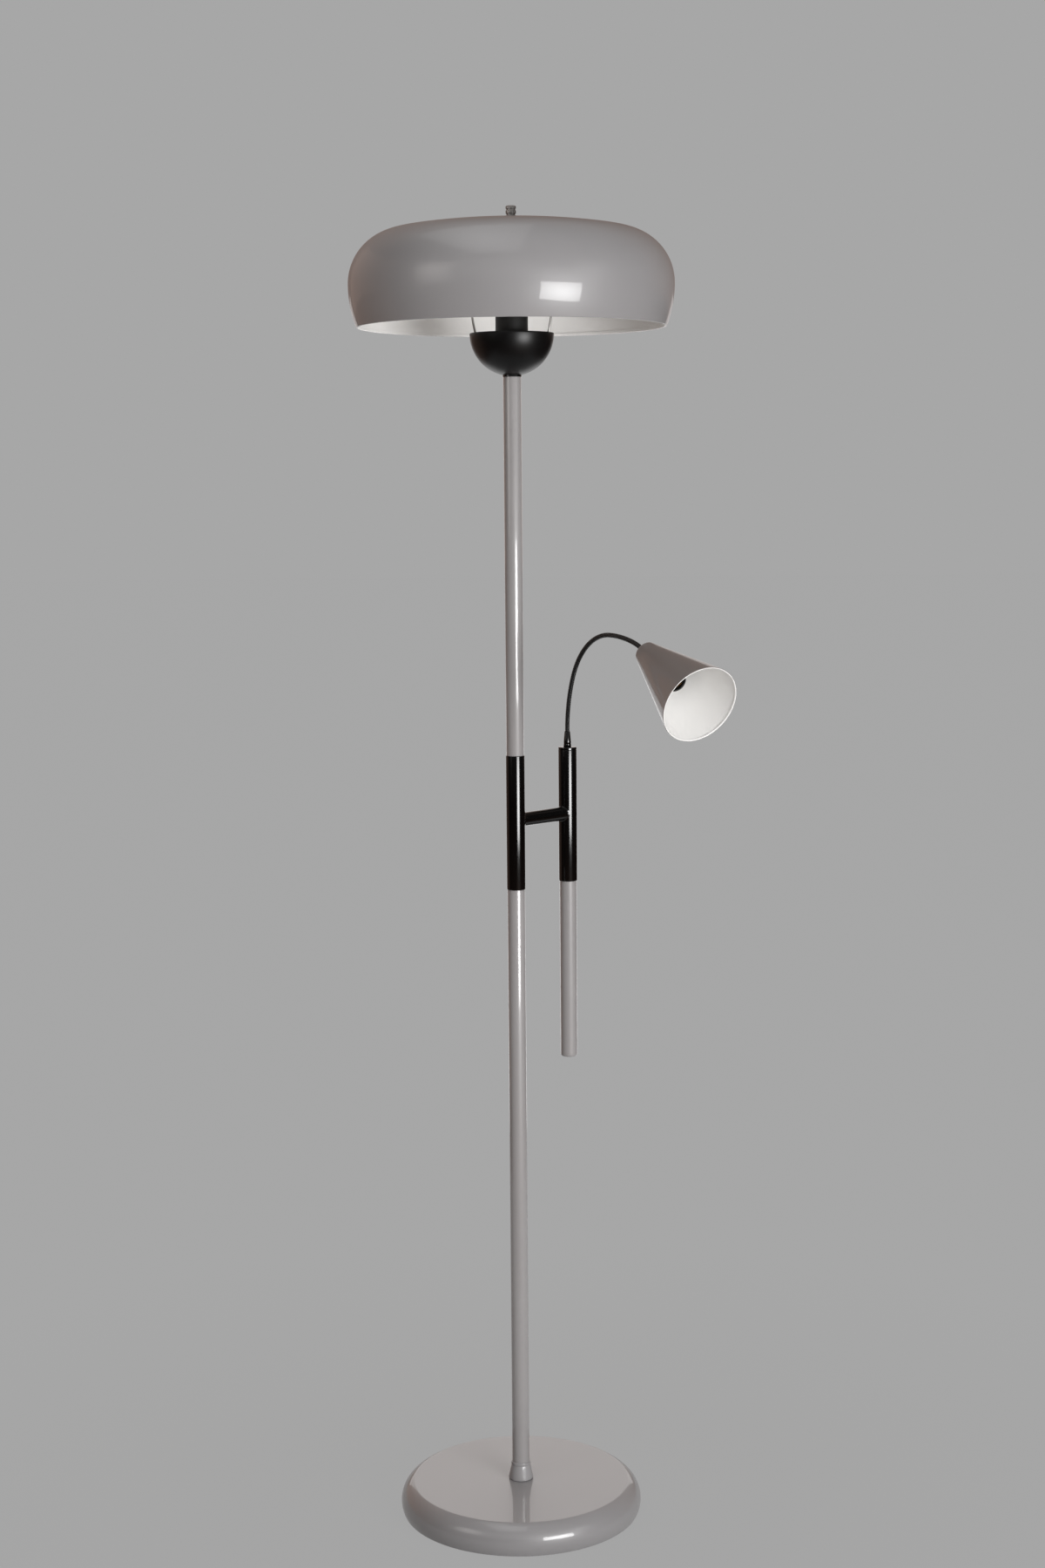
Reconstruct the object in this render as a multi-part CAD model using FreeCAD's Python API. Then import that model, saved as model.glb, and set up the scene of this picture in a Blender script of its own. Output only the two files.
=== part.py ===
import FreeCAD
import Part
import math
import os
from FreeCAD import Vector as V

# Torchiere floor lamp with a reading light on a gooseneck.
# Millimetres. +Z up, origin on the floor at the pole axis, front of the lamp towards -Y.

os.makedirs("parts", exist_ok=True)

# ---- fits shared by several pieces -----------------------------------------------------
slip = 0.05            # radial clearance of a piece that slides or turns in another
seat_gap = 0.2         # clearance round fixed pieces that are only dropped in place
cable_d = 5.5          # mains flex inside the stand
cable_bend_r = 10.0

# ---- base ------------------------------------------------------------------------------
base_d = 280.0         # widest point of the base
base_h = 35.0          # flat top of the base above the floor
base_wide_z = 12.0     # height of the widest point
base_over_r = 25.0     # bulge of the side above the widest point
base_edge_r = 4.0      # rounded edge of the flat top
base_under_r = 26.0    # radius of the edge below the widest point
base_shell_wall = 1.5
base_clear = 1.0       # shell edge above the floor
felt_t = 2.0
felt_inset = 3.0       # felt edge behind the edge of the plate
plate_t = 1.0
weight_t = 14.0
weight_inset = 16.0    # rim of the weight behind the edge of the base
hub_r = 22.0
hub_recess_r = 15.0
hub_web = 11.5         # iron left between the recess and the top of the hub
weight_bore = 10.4
groove_w = 8.0         # groove for the flex under the weight
groove_h = 10.5
screw_count = 3
screw_circle_r = 80.0
screw_d = 4.0
screw_head_d = 8.0
screw_len = 10.0
grommet_d = 11.0
grommet_neck_d = 9.0
grommet_lip = 1.5
grommet_z = 9.5
grommet_tail = 4.0

# ---- threaded tubes, nuts and inserts ---------------------------------------------------
nipple_d = 10.0
nipple_bore = 7.0
foot_nipple_z = 17.0   # lower end of the foot nipple
nut_af = 17.0
nut_t = 5.0
washer_d = 26.0
washer_t = 1.6
insert_len = 25.0
nipple_grip = 22.0     # thread in each pole insert

# ---- pole ------------------------------------------------------------------------------
pole_d = 20.0
pole_wall = 1.2
pole_top_z = 1307.8    # upper end of the upper pole
collar_d = 28.5        # tapered collar at the foot
collar_top_d = 22.5
collar_h = 21.0
collar_lip = 3.5
collar_edge = 2.0
collar_step = 0.5      # lip proud of the taper
collar_top_edge = 0.6

# ---- bracket ---------------------------------------------------------------------------
sleeve_z = 733.0       # lower end of both sleeves
sleeve_len = 153.0
sleeve_d = 21.5
sleeve_wall = 0.9
sleeve_edge = 0.6      # bevel of the sleeve ends
bar_d = 16.0
bar_wall = 1.6
bar_lift = 2.5         # crossbar axis above the middle of the sleeves
weld_leg = 1.4         # weld bead where the crossbar meets a sleeve
weld_toe = 0.5         # depth of the bead's flat toe
bar_cope = 2.0         # crossbar blank past the sleeve's face, before it is coped
reach = 85.0           # pole axis to arm axis
bracket_turn = 45.0    # crossbar direction, degrees from +X towards +Y
bush_len = 24.0
core_wall = 1.6
core_grip = 40.0       # core tube inside each pole
flex_window_h = 9.0
flex_window_turn = 190.0
flex_hole_d = 6.5

# ---- arm -------------------------------------------------------------------------------
arm_d = 19.6
arm_wall = 1.2
arm_below = 208.0      # tube below the sleeve at rest
arm_travel = 70.0
cap_t = 3.0
cap_edge = 0.6
spigot_len = 12.0
end_plug_edge = 3.0
end_plug_t = 4.0
shoe_len = 38.0        # brake shoe in the crossbar
shoe_nose_d = 6.0
shoe_nose_in = 1.0     # nose past the inner wall of the arm tube
shoe_fit = 0.1
shoe_nose_wall = 1.2
shoe_nose_root = 2.0   # nose let into the shoe

# ---- gooseneck, in the vertical plane of the reading light ------------------------------
neck_turn = 30.1       # plane direction, degrees from -Y towards +X
hose_d = 5.4
hose_valley_d = 4.4
hose_bore = 3.0
rib_pitch = 3.9
ferrule_d = 9.0
ferrule_top_d = 6.4
ferrule_h = 18.0
ferrule_seat = 3.0     # hose starts this far above the cap
ferrule_shank_d = 8.0
ferrule_step = 0.4     # taper over the lower third
rise = 16.0            # straight run before the first bend, inside the ferrule
bends = [(154.6, 24.0), (86.4, 65.4), (203.0, 13.8), (92.0, 12.0)]     # radius, turn in degrees
link_count = 5
link_gap = 0.94        # slit between links, so that they can bend
root_link_len = 60.0   # the lowest link, held by the ferrule

# ---- reading shade ---------------------------------------------------------------------
boot_len = 8.0
boot_d = 9.6
boot_tip_d = 6.2
boot_seat = 2.0        # hose end to the back of the cone
boot_band = 1.2        # cylindrical band at the wide end
cone_len = 117.0
cone_mouth_d = 90.0
cone_back_d = 25.0
cone_corner = 4.0
cone_wall = 1.0
cone_hem_h = 2.5       # folded hem at the mouth
cone_nut_t = 3.0
cone_nut_af = 12.0
small_holder_d = 22.6
small_holder_len = 65.0
small_holder_wall = 2.2
small_holder_taper = 5.5       # narrowing of the foot
small_holder_taper_h = 9.0
holder_lip_edge = 1.0          # bevel at the mouth of both lampholders
small_thread_d = 13.9  # bore of the small lamp thread
small_thread_len = 18.0
thread_sheet = 0.4
contact_t = 0.8
contact_h = 3.2                # sprung centre contact above the lampholder's floor
contact_gap = 0.5              # contact below the thread
thread_flange = 1.0            # flange that seats a thread in its lampholder
small_contact_d = 7.0
small_contact_tip_d = 3.0

# ---- top: cup, lampholder and harp -------------------------------------------------------
ring_t = 2.0
ring_d = 21.0
cup_r = 46.8
cup_wall = 1.2
saddle_w = 12.0
saddle_t = 1.5
saddle_flat = 19.0     # half length of the flat part
ear_lift = 9.0         # harp feet above the strip
holder_d = 36.0
holder_foot_d = 20.0
holder_cap_h = 16.0
holder_len = 57.0
holder_wall = 3.0
holder_gap = 0.8       # groove between cap and barrel
holder_groove = 1.2    # depth of that groove
holder_cap_taper_h = 9.0
holder_cap_step = 1.5  # cap smaller than the barrel at its taper
holder_cap_rim = 0.6   # and at its rim
contact_d = 16.0
contact_tip_d = 6.0
thread_d = 26.4        # bore of the lamp thread
thread_len = 24.0
thread_drop = 1.5      # thread below the lip of the barrel
harp_wire_d = 2.4
harp_half_w = 44.5
harp_wide_above_cup = 35.5
harp_flare_r = 149.0
harp_hub_d = 14.0
harp_hub_t = 4.0
stud_d = 6.0

# ---- main shade --------------------------------------------------------------------------
shade_d = 360.0
shade_lift = 53.0             # widest level above the lip of the cup
shade_shoulder_r = 60.0
shade_shoulder_end = 80.7      # shoulder arc turns this far, degrees
shade_skirt_r = 126.0
shade_rim_drop = 47.0          # rim below the widest point
shade_wall = 1.2
shade_hem_h = 3.0              # folded hem at the rim
shade_hole_d = 6.6
shade_washer_d = 22.0
shade_washer_t = 1.5
finial_h = 15.5
finial_foot_d = 13.0
finial_neck_d = 9.6
finial_knob_d = 11.4
finial_foot_h = 2.5
finial_flare_h = 2.0           # flare from the foot to the neck
finial_neck_h = 2.0
finial_band_h = 3.5            # lower ring of the knob
finial_groove = 0.7            # depth of the groove between the rings
finial_groove_h = 2.0
finial_edge = 1.0
finial_thread = 0.6            # share of the nut's height that is threaded
washer_play = 0.1

# ---- derived places ----------------------------------------------------------------------
base_r = base_d / 2
weight_r = base_r - weight_inset
pole_r = pole_d / 2
pole_in_r = pole_r - pole_wall
sleeve_r = sleeve_d / 2
sleeve_in_r = sleeve_r - sleeve_wall
sleeve_top_z = sleeve_z + sleeve_len
bar_z = sleeve_z + sleeve_len / 2 + bar_lift
bar_in_r = bar_d / 2 - bar_wall
core_r = pole_in_r - slip
arm_r = arm_d / 2
arm_in_r = arm_r - arm_wall
bar_dir = V(math.cos(math.radians(bracket_turn)), math.sin(math.radians(bracket_turn)), 0)
arm_foot = bar_dir * reach
neck_out = V(math.sin(math.radians(neck_turn)), -math.cos(math.radians(neck_turn)), 0)
neck_side = V(0, 0, 1).cross(neck_out)
plate_z = felt_t
weight_z = plate_z + plate_t
hub_top_z = base_h - base_shell_wall
recess_top_z = hub_top_z - hub_web
cup_floor_z = pole_top_z + ring_t
cup_centre_z = cup_floor_z + math.sqrt(cup_r ** 2 - (ring_d / 2) ** 2)
cup_inside_z = cup_floor_z + cup_wall
shade_wide_z = cup_centre_z + shade_lift
saddle_z = cup_inside_z + nut_t
holder_z = saddle_z + saddle_t
holder_top_z = holder_z + holder_len


# ---- helpers -------------------------------------------------------------------------------
def line(a, b):
    return Part.makeLine(V(a[0], 0, a[1]), V(b[0], 0, b[1]))


def arc(centre, radius, start, end):
    """Arc in the r-z plane, angles in degrees from the +r direction."""
    def at(angle):
        turn = math.radians(angle)
        return V(centre[0] + radius * math.cos(turn), 0, centre[1] + radius * math.sin(turn))
    return Part.Arc(at(start), at((start + end) / 2), at(end)).toShape()


def polyline(points):
    return [line(a, b) for a, b in zip(points, points[1:])]


def spin(edges, turn=360.0):
    """Solid of revolution about Z from the closed outline in the r-z plane."""
    wire = Part.Wire(Part.__sortEdges__(edges))
    return Part.Face(wire).revolve(V(0, 0, 0), V(0, 0, 1), turn)


def turned(points):
    return spin(polyline(points + points[:1]))


def tube(radius, bore, low, high):
    return turned([(bore, low), (radius, low), (radius, high), (bore, high)])


def rod(radius, low, high, at=V(0, 0, 0)):
    return Part.makeCylinder(radius, high - low, V(at.x, at.y, low))


def moved(shape, to, direction=V(0, 0, 1)):
    """Place a shape that was made along +Z at a point, along a direction."""
    shape = shape.copy()
    shape.Placement = FreeCAD.Placement(to, FreeCAD.Rotation(V(0, 0, 1), direction))
    return shape


def hexagon(flats, height, bore, low):
    corner = flats / math.sqrt(3)
    points = [V(corner * math.cos(math.radians(60 * i)), corner * math.sin(math.radians(60 * i)), low)
              for i in range(7)]
    prism = Part.Face(Part.makePolygon(points)).extrude(V(0, 0, height))
    return prism.cut(rod(bore, low, low + height))


# ---- base --------------------------------------------------------------------------------
def base_outline(inset):
    """Right-hand edge of the base from its foot to the flat top, moved inwards by the inset."""
    low = base_clear
    drop = math.degrees(math.asin((base_wide_z - low) / (base_under_r - inset)))
    under = arc((base_r - base_under_r, base_wide_z), base_under_r - inset, -drop, 0)
    edge_up = base_h - base_edge_r - base_wide_z
    edge_out = math.sqrt((base_over_r - base_edge_r) ** 2 - edge_up ** 2)
    edge_turn = math.degrees(math.atan2(edge_up, edge_out))
    over = arc((base_r - base_over_r, base_wide_z), base_over_r - inset, 0, edge_turn)
    edge_at = (base_r - base_over_r + edge_out, base_wide_z + edge_up)
    edge = arc(edge_at, base_edge_r - inset, edge_turn, 90)
    foot_r = base_r - base_under_r + (base_under_r - inset) * math.cos(math.radians(drop))
    return [under, over, edge], (foot_r, low), (edge_at[0], base_h - inset)


def base_shell():
    outer, outer_foot, outer_top = base_outline(0.0)
    inner, inner_foot, inner_top = base_outline(base_shell_wall)
    hole_r = weight_bore / 2
    edges = outer + inner
    edges += polyline([outer_top, (hole_r, base_h), (hole_r, inner_top[1]), inner_top])
    edges.append(line(outer_foot, inner_foot))
    hole = Part.makeCylinder(grommet_neck_d / 2, base_r, V(0, base_r / 2, grommet_z), V(0, 1, 0))
    return spin(edges).cut(hole)


def screw_places():
    for i in range(screw_count):
        turn = math.radians(30 + 360.0 * i / screw_count)
        yield V(screw_circle_r * math.cos(turn), screw_circle_r * math.sin(turn), 0)


def countersink(place):
    sink = (screw_head_d - screw_d) / 2
    cone = turned([(0, plate_z), (screw_head_d / 2, plate_z), (screw_d / 2, plate_z + sink),
                   (0, plate_z + sink)])
    return cone.translated(place)


def base_weight():
    outline = [(weight_bore / 2, recess_top_z), (hub_recess_r, recess_top_z), (hub_recess_r, weight_z),
               (weight_r, weight_z), (weight_r, weight_z + weight_t), (hub_r, weight_z + weight_t),
               (hub_r, hub_top_z), (weight_bore / 2, hub_top_z)]
    weight = turned(outline)
    groove = Part.makeBox(groove_w, base_r, groove_h, V(-groove_w / 2, 0, weight_z))
    cuts = [groove]
    for place in screw_places():
        cuts.append(countersink(place))
        cuts.append(rod(screw_d / 2, plate_z, plate_z + screw_len, place))
    return weight.cut(Part.makeCompound(cuts))


def base_plate():
    _, foot, _ = base_outline(base_shell_wall)
    plate = rod(foot[0] - seat_gap, plate_z, weight_z)
    cuts = []
    for place in screw_places():
        cuts.append(countersink(place))
        cuts.append(rod(screw_d / 2, plate_z, weight_z, place))
    return plate.cut(Part.makeCompound(cuts))


def base_plate_screws():
    return Part.makeCompound([
        countersink(place).fuse(rod(screw_d / 2, plate_z, plate_z + screw_len, place)).removeSplitter()
        for place in screw_places()])


def felt_pad():
    _, foot, _ = base_outline(base_shell_wall)
    return rod(foot[0] - felt_inset, 0, felt_t)


def wall_r(z, inset):
    """Radius of the shell's outer face, or of a skin inside it, below the widest point."""
    return base_r - base_under_r + math.sqrt((base_under_r - inset) ** 2 - (base_wide_z - z) ** 2)


def cord_grommet():
    """Grommet in the back of the base; its inner lip clears the curved wall."""
    bore_r = cable_d / 2 + slip
    neck_r = grommet_neck_d / 2
    lip_r = grommet_d / 2
    inside = wall_r(grommet_z - lip_r, base_shell_wall) - base_r - seat_gap
    body = turned([(bore_r, inside - grommet_tail), (neck_r, inside - grommet_tail), (lip_r, inside),
                   (neck_r, inside), (neck_r, 0), (lip_r, 0), (lip_r - grommet_lip / 2, grommet_lip),
                   (bore_r, grommet_lip)])
    return moved(body, V(0, base_r, grommet_z), V(0, 1, 0))


# ---- foot of the pole ----------------------------------------------------------------------
def tube_nut(low):
    return hexagon(nut_af, nut_t, nipple_d / 2, low)


def foot_washer():
    return tube(washer_d / 2, nipple_d / 2 + seat_gap, recess_top_z - washer_t, recess_top_z)


def pole_insert(low, high):
    """Threaded plug pressed into a pole end."""
    return tube(pole_in_r, nipple_d / 2, low, high)


def foot_collar():
    bore = pole_r + slip
    low_r, top_r = collar_d / 2, collar_top_d / 2
    top = base_h + collar_h
    return turned([(bore, base_h), (low_r - collar_edge / 2, base_h), (low_r, base_h + collar_edge),
                   (top_r - collar_step, top - collar_lip), (top_r, top - collar_lip),
                   (top_r, top - collar_top_edge), (top_r - collar_top_edge, top), (bore, top)])


# ---- pole and bracket ------------------------------------------------------------------------
def pole_core():
    """Inner tube that joins the two poles and carries the bracket; its window lets the flex out."""
    core = tube(core_r, core_r - core_wall, sleeve_z - core_grip, sleeve_top_z + core_grip)
    low = bar_z - flex_window_h / 2
    window = Part.Face(Part.makePolygon([V(core_r - 2 * core_wall, 0, low), V(pole_r, 0, low),
                                         V(pole_r, 0, low + flex_window_h),
                                         V(core_r - 2 * core_wall, 0, low + flex_window_h),
                                         V(core_r - 2 * core_wall, 0, low)]))
    window = window.revolve(V(0, 0, 0), V(0, 0, 1), flex_window_turn)
    window.rotate(V(0, 0, 0), V(0, 0, 1), bracket_turn - flex_window_turn / 2)
    return core.cut(window)


def bush(low):
    return tube(sleeve_in_r, core_r + slip, low, low + bush_len)


def sleeve(hole_d, at, facing):
    """One upright of the bracket, with bevelled ends and a hole towards the crossbar."""
    r, e = sleeve_r, sleeve_edge
    upright = turned([(sleeve_in_r, sleeve_z), (r - e, sleeve_z), (r, sleeve_z + e), (r, sleeve_top_z - e),
                      (r - e, sleeve_top_z), (sleeve_in_r, sleeve_top_z)])
    hole = Part.makeCylinder(hole_d / 2, 2 * sleeve_r, V(0, 0, bar_z), facing)
    return upright.cut(hole).translated(at)


def crossbar():
    """Tube coped to both sleeves, with a weld bead at each end."""
    r = bar_d / 2
    cope = sleeve_r - bar_cope
    bead_end = sleeve_r + weld_leg
    outline = [(bar_in_r, cope), (r + weld_leg, cope), (r + weld_leg, sleeve_r - weld_toe), (r, bead_end),
               (r, reach - bead_end), (r + weld_leg, reach - sleeve_r + weld_toe),
               (r + weld_leg, reach - cope), (bar_in_r, reach - cope)]
    bar = moved(turned(outline), V(0, 0, bar_z), bar_dir)
    sleeves = [rod(sleeve_r, sleeve_z, sleeve_top_z, at) for at in (V(0, 0, 0), arm_foot)]
    return bar.cut(Part.makeCompound(sleeves))


def brake_shoe():
    """Nylon shoe in the crossbar. Its hollow face brakes the arm tube, its nose runs in the slot."""
    face = reach - arm_r - slip
    nose_tip = reach - arm_in_r + shoe_nose_in
    nose_r = shoe_nose_d / 2
    body_r = bar_in_r - shoe_fit
    duct_r = nose_r - shoe_nose_wall
    body = tube(body_r, duct_r, face - shoe_len, reach)
    body = moved(body, V(0, 0, bar_z), bar_dir).cut(rod(arm_r + slip, sleeve_z, sleeve_top_z, arm_foot))
    far = Part.makeBox(4 * sleeve_d, 4 * sleeve_d, 4 * sleeve_d, V(-2 * sleeve_d, -2 * sleeve_d, reach))
    body = body.cut(moved(far, V(0, 0, bar_z), bar_dir))
    nose = moved(tube(nose_r, duct_r, face - shoe_nose_root, nose_tip), V(0, 0, bar_z), bar_dir)
    return body.fuse(nose).removeSplitter()


def brake_cushion():
    """Rubber tube that presses the shoe against the arm tube."""
    back = reach - arm_r - slip - shoe_len
    return moved(tube(bar_in_r - 2 * shoe_fit, flex_hole_d / 2, sleeve_r, back), V(0, 0, bar_z), bar_dir)


# ---- arm -----------------------------------------------------------------------------------
def arm_tube():
    low = sleeve_z - arm_below + end_plug_t
    body = tube(arm_r, arm_in_r, low, sleeve_top_z).translated(arm_foot)
    slot_w = shoe_nose_d + 2 * shoe_fit
    slot = Part.makeBox(arm_d, slot_w, arm_travel, V(-arm_d, -slot_w / 2, bar_z - arm_travel))
    ends = [Part.makeCylinder(slot_w / 2, arm_d, V(0, 0, z), V(-1, 0, 0))
            for z in (bar_z, bar_z - arm_travel)]
    slot = slot.fuse(ends)
    slot.rotate(V(0, 0, 0), V(0, 0, 1), bracket_turn)
    return body.cut(slot.translated(arm_foot))


def arm_cap():
    low, top = sleeve_top_z, sleeve_top_z + cap_t
    r, e = sleeve_r, cap_edge
    bore = ferrule_shank_d / 2
    cap = turned([(bore, low - spigot_len), (arm_in_r, low - spigot_len), (arm_in_r, low), (r, low),
                  (r, top - e), (r - e, top), (bore, top)])
    return cap.translated(arm_foot)


def arm_end_plug():
    low = sleeve_z - arm_below
    shoulder = low + end_plug_t
    e = end_plug_edge
    edges = polyline([(0, low), (arm_r - e, low)])
    edges.append(arc((arm_r - e, low + e), e, -90, 0))
    edges += polyline([(arm_r, low + e), (arm_r, shoulder), (arm_in_r, shoulder),
                       (arm_in_r, shoulder + spigot_len), (0, shoulder + spigot_len), (0, low)])
    return spin(edges).translated(arm_foot)


# ---- gooseneck -------------------------------------------------------------------------------
def neck_point(length):
    """Distance out from the arm axis, height and heading (degrees above level) along the hose."""
    out, up = 0.0, sleeve_top_z + cap_t + ferrule_seat
    heading = 90.0
    if length <= rise:
        return out, up + length, heading
    up += rise
    left = length - rise
    for radius, turn in bends:
        arc_len = radius * math.radians(turn)
        bend = math.degrees(min(left, arc_len) / radius)
        a, b = math.radians(heading), math.radians(heading - bend)
        out += radius * (math.sin(a) - math.sin(b))
        up += radius * (math.cos(b) - math.cos(a))
        heading -= bend
        left -= min(left, arc_len)
    a = math.radians(heading)
    return out + left * math.cos(a), up + left * math.sin(a), heading


def neck_length():
    return rise + sum(radius * math.radians(turn) for radius, turn in bends) + hose_d


def in_space(out, up):
    return arm_foot + neck_out * out + V(0, 0, up)


def heading_dir(heading):
    a = math.radians(heading)
    return neck_out * math.cos(a) + V(0, 0, math.sin(a))


def hose_circle(length, radius):
    """Circle square to the hose, its seam always on the side of the neck's plane."""
    out, up, heading = neck_point(length)
    along = heading_dir(heading)
    across = along.cross(neck_side)
    centre = in_space(out, up)
    frame = FreeCAD.Matrix(neck_side.x, across.x, along.x, centre.x,
                           neck_side.y, across.y, along.y, centre.y,
                           neck_side.z, across.z, along.z, centre.z, 0, 0, 0, 1)
    ring = Part.Wire([Part.makeCircle(radius)])
    ring.Placement = FreeCAD.Placement(frame)
    return ring


def link_ends():
    """Where the hose is divided, measured along it."""
    total = neck_length()
    step = (total - root_link_len) / (link_count - 1)
    return [0.0] + [root_link_len + step * i for i in range(link_count)]


def neck_link(index):
    """Ribbed length of hose between two bending points."""
    ends = link_ends()
    start = ends[index] + (link_gap / 2 if index > 0 else 0.0)
    stop = ends[index + 1] - (link_gap / 2 if index < link_count - 1 else 0.0)
    ribs = max(2, round((stop - start) / rib_pitch))
    pitch = (stop - start) / ribs
    rings = []
    for i in range(ribs):
        at = start + pitch * i
        rings.append(hose_circle(at, hose_valley_d / 2))
        rings.append(hose_circle(at + 0.25 * pitch, hose_d / 2))
        rings.append(hose_circle(at + 0.75 * pitch, hose_d / 2))
    rings.append(hose_circle(stop, hose_valley_d / 2))
    outside = Part.makeLoft(rings, True, True)
    stations = max(2, round((stop - start) / 12))
    bore = [hose_circle(start + (stop - start) * i / stations, hose_bore / 2)
            for i in range(stations + 1)]
    return outside.cut(Part.makeLoft(bore, True, True))


def neck_ferrule():
    """Turned ferrule screwed through the cap; the hose stands in its bore."""
    low = sleeve_top_z + cap_t
    seat = low + ferrule_seat
    top = low + ferrule_h
    bore = hose_d / 2 + slip
    body = turned([(hose_bore / 2, low - cap_t - spigot_len), (ferrule_shank_d / 2 - slip,
                   low - cap_t - spigot_len), (ferrule_shank_d / 2 - slip, low), (ferrule_d / 2, low),
                   ((ferrule_d - ferrule_step) / 2, low + ferrule_h / 3), (ferrule_top_d / 2, top), (bore, top),
                   (bore, seat), (hose_bore / 2, seat)])
    return body.translated(arm_foot)


# ---- reading shade, made along +Z from the back of the cone and then placed --------------------
def head_place():
    out, up, heading = neck_point(neck_length() + boot_seat)
    return in_space(out, up), heading_dir(heading)


def on_head(shape):
    back, direction = head_place()
    return moved(shape, back, direction)


def cone_radius(x):
    """Outer radius of the cone at a distance from its back."""
    return (cone_back_d + (cone_mouth_d - cone_back_d) * x / cone_len) / 2


def cone_shade():
    """Spun cone with a rounded back, its mouth folded in to a hem."""
    slope = math.atan2((cone_mouth_d - cone_back_d) / 2, cone_len)
    skin = cone_wall / math.cos(slope)
    bore = ferrule_shank_d / 2
    corner = cone_corner
    hem_x = cone_len - cone_hem_h
    flat = cone_radius(corner) - corner
    return on_head(spin(
        [line((bore, 0), (flat, 0)), arc((flat, corner), corner, -90, 0)]
        + polyline([(flat + corner, corner), (cone_radius(cone_len), cone_len),
                    (cone_radius(cone_len) - 2 * skin, cone_len), (cone_radius(hem_x) - 2 * skin, hem_x),
                    (cone_radius(hem_x) - skin, hem_x), (cone_radius(corner) - skin, corner),
                    (flat, cone_wall), (bore, cone_wall), (bore, 0)])))


def cone_boot():
    """Flared nut that holds the hose to the cone; its shank passes through the cone's back."""
    bore = hose_d / 2 + slip
    shank_r = ferrule_shank_d / 2 - slip
    end = cone_wall + cone_nut_t
    return on_head(turned([(bore, -boot_len), (boot_tip_d / 2, -boot_len), (boot_d / 2, -boot_band),
                           (boot_d / 2, 0), (shank_r, 0), (shank_r, end), (hose_bore / 2, end),
                           (hose_bore / 2, -boot_seat), (bore, -boot_seat)]))


def cone_nut():
    return on_head(hexagon(cone_nut_af, cone_nut_t, ferrule_shank_d / 2, cone_wall))


def small_floor():
    """Inner floor of the small lampholder, under its contact and thread."""
    top = cone_wall + cone_nut_t + small_holder_len
    return top - thread_drop - small_thread_len - contact_gap - contact_h


def small_holder():
    """Small lampholder in the cone, standing on the nut."""
    low = cone_wall + cone_nut_t
    top = low + small_holder_len
    r = small_holder_d / 2
    wall_r = r - small_holder_wall
    floor = small_floor()
    return on_head(turned([(hose_bore / 2, low), (r - small_holder_taper, low),
                           (r, low + small_holder_taper_h), (r, top - holder_lip_edge),
                           (r - holder_lip_edge, top),
                           (wall_r, top), (wall_r, floor), (hose_bore / 2, floor)]))


def small_thread():
    top = cone_wall + cone_nut_t + small_holder_len - thread_drop
    bore = small_thread_d / 2
    outer = bore + thread_sheet
    low = top - small_thread_len
    seat_r = small_holder_d / 2 - small_holder_wall
    return on_head(turned([(bore, low), (seat_r, low), (seat_r, low + thread_flange),
                           (outer, low + thread_flange), (outer, top), (bore, top)]))


def small_contact():
    floor = small_floor()
    r, tip = small_contact_d / 2, small_contact_tip_d / 2
    return on_head(turned([(0, floor), (r, floor), (r, floor + contact_t), (tip, floor + contact_h),
                           (0, floor + contact_h)]))


# ---- cup, lampholder and harp ----------------------------------------------------------------
def neck_ring():
    return tube(ring_d / 2, nipple_d / 2 + seat_gap, pole_top_z, cup_floor_z)


def cup():
    inner_r = cup_r - cup_wall
    hole = nipple_d / 2 + seat_gap
    outer_low = -math.degrees(math.acos(ring_d / 2 / cup_r))
    inner_floor = math.sqrt(inner_r ** 2 - (cup_centre_z - cup_inside_z) ** 2)
    inner_low = -math.degrees(math.acos(inner_floor / inner_r))
    edges = [arc((0, cup_centre_z), cup_r, outer_low, 0), arc((0, cup_centre_z), inner_r, inner_low, 0)]
    edges.append(line((inner_r, cup_centre_z), (cup_r, cup_centre_z)))
    edges += polyline([(ring_d / 2, cup_floor_z), (hole, cup_floor_z), (hole, cup_inside_z),
                       (inner_floor, cup_inside_z)])
    return spin(edges)


def harp_flare_point(z):
    """Half width of the harp and its lean from the vertical (degrees) at a height on the flare."""
    drop = cup_centre_z + harp_wide_above_cup - z
    lean = math.asin(drop / harp_flare_r)
    return harp_half_w - harp_flare_r * (1 - math.cos(lean)), math.degrees(lean)


def harp_foot_z():
    return saddle_z + saddle_t + ear_lift


def harp_saddle():
    """Bent strip across the cup's floor; the harp's wires end on its ears."""
    half, lean = harp_flare_point(harp_foot_z())
    ear = V(half, 0, harp_foot_z())
    out = V(math.cos(math.radians(lean)), 0, -math.sin(math.radians(lean)))
    tip_out = ear + out * (harp_wire_d / 2)
    tip_in = ear - out * (harp_wire_d / 2)
    points = [V(0, 0, saddle_z), V(saddle_flat, 0, saddle_z), tip_out, tip_in,
              V(saddle_flat - saddle_t / 2, 0, saddle_z + saddle_t), V(0, 0, saddle_z + saddle_t),
              V(0, 0, saddle_z)]
    strip = Part.Face(Part.makePolygon(points)).extrude(V(0, saddle_w, 0))
    strip.translate(V(0, -saddle_w / 2, 0))
    both = strip.fuse(strip.mirror(V(0, 0, 0), V(1, 0, 0))).removeSplitter()
    return both.cut(rod(nipple_d / 2 + seat_gap, saddle_z, saddle_z + saddle_t))


def harp_top_z():
    return shade_inner_top() - shade_washer_t - harp_hub_t / 2


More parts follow.
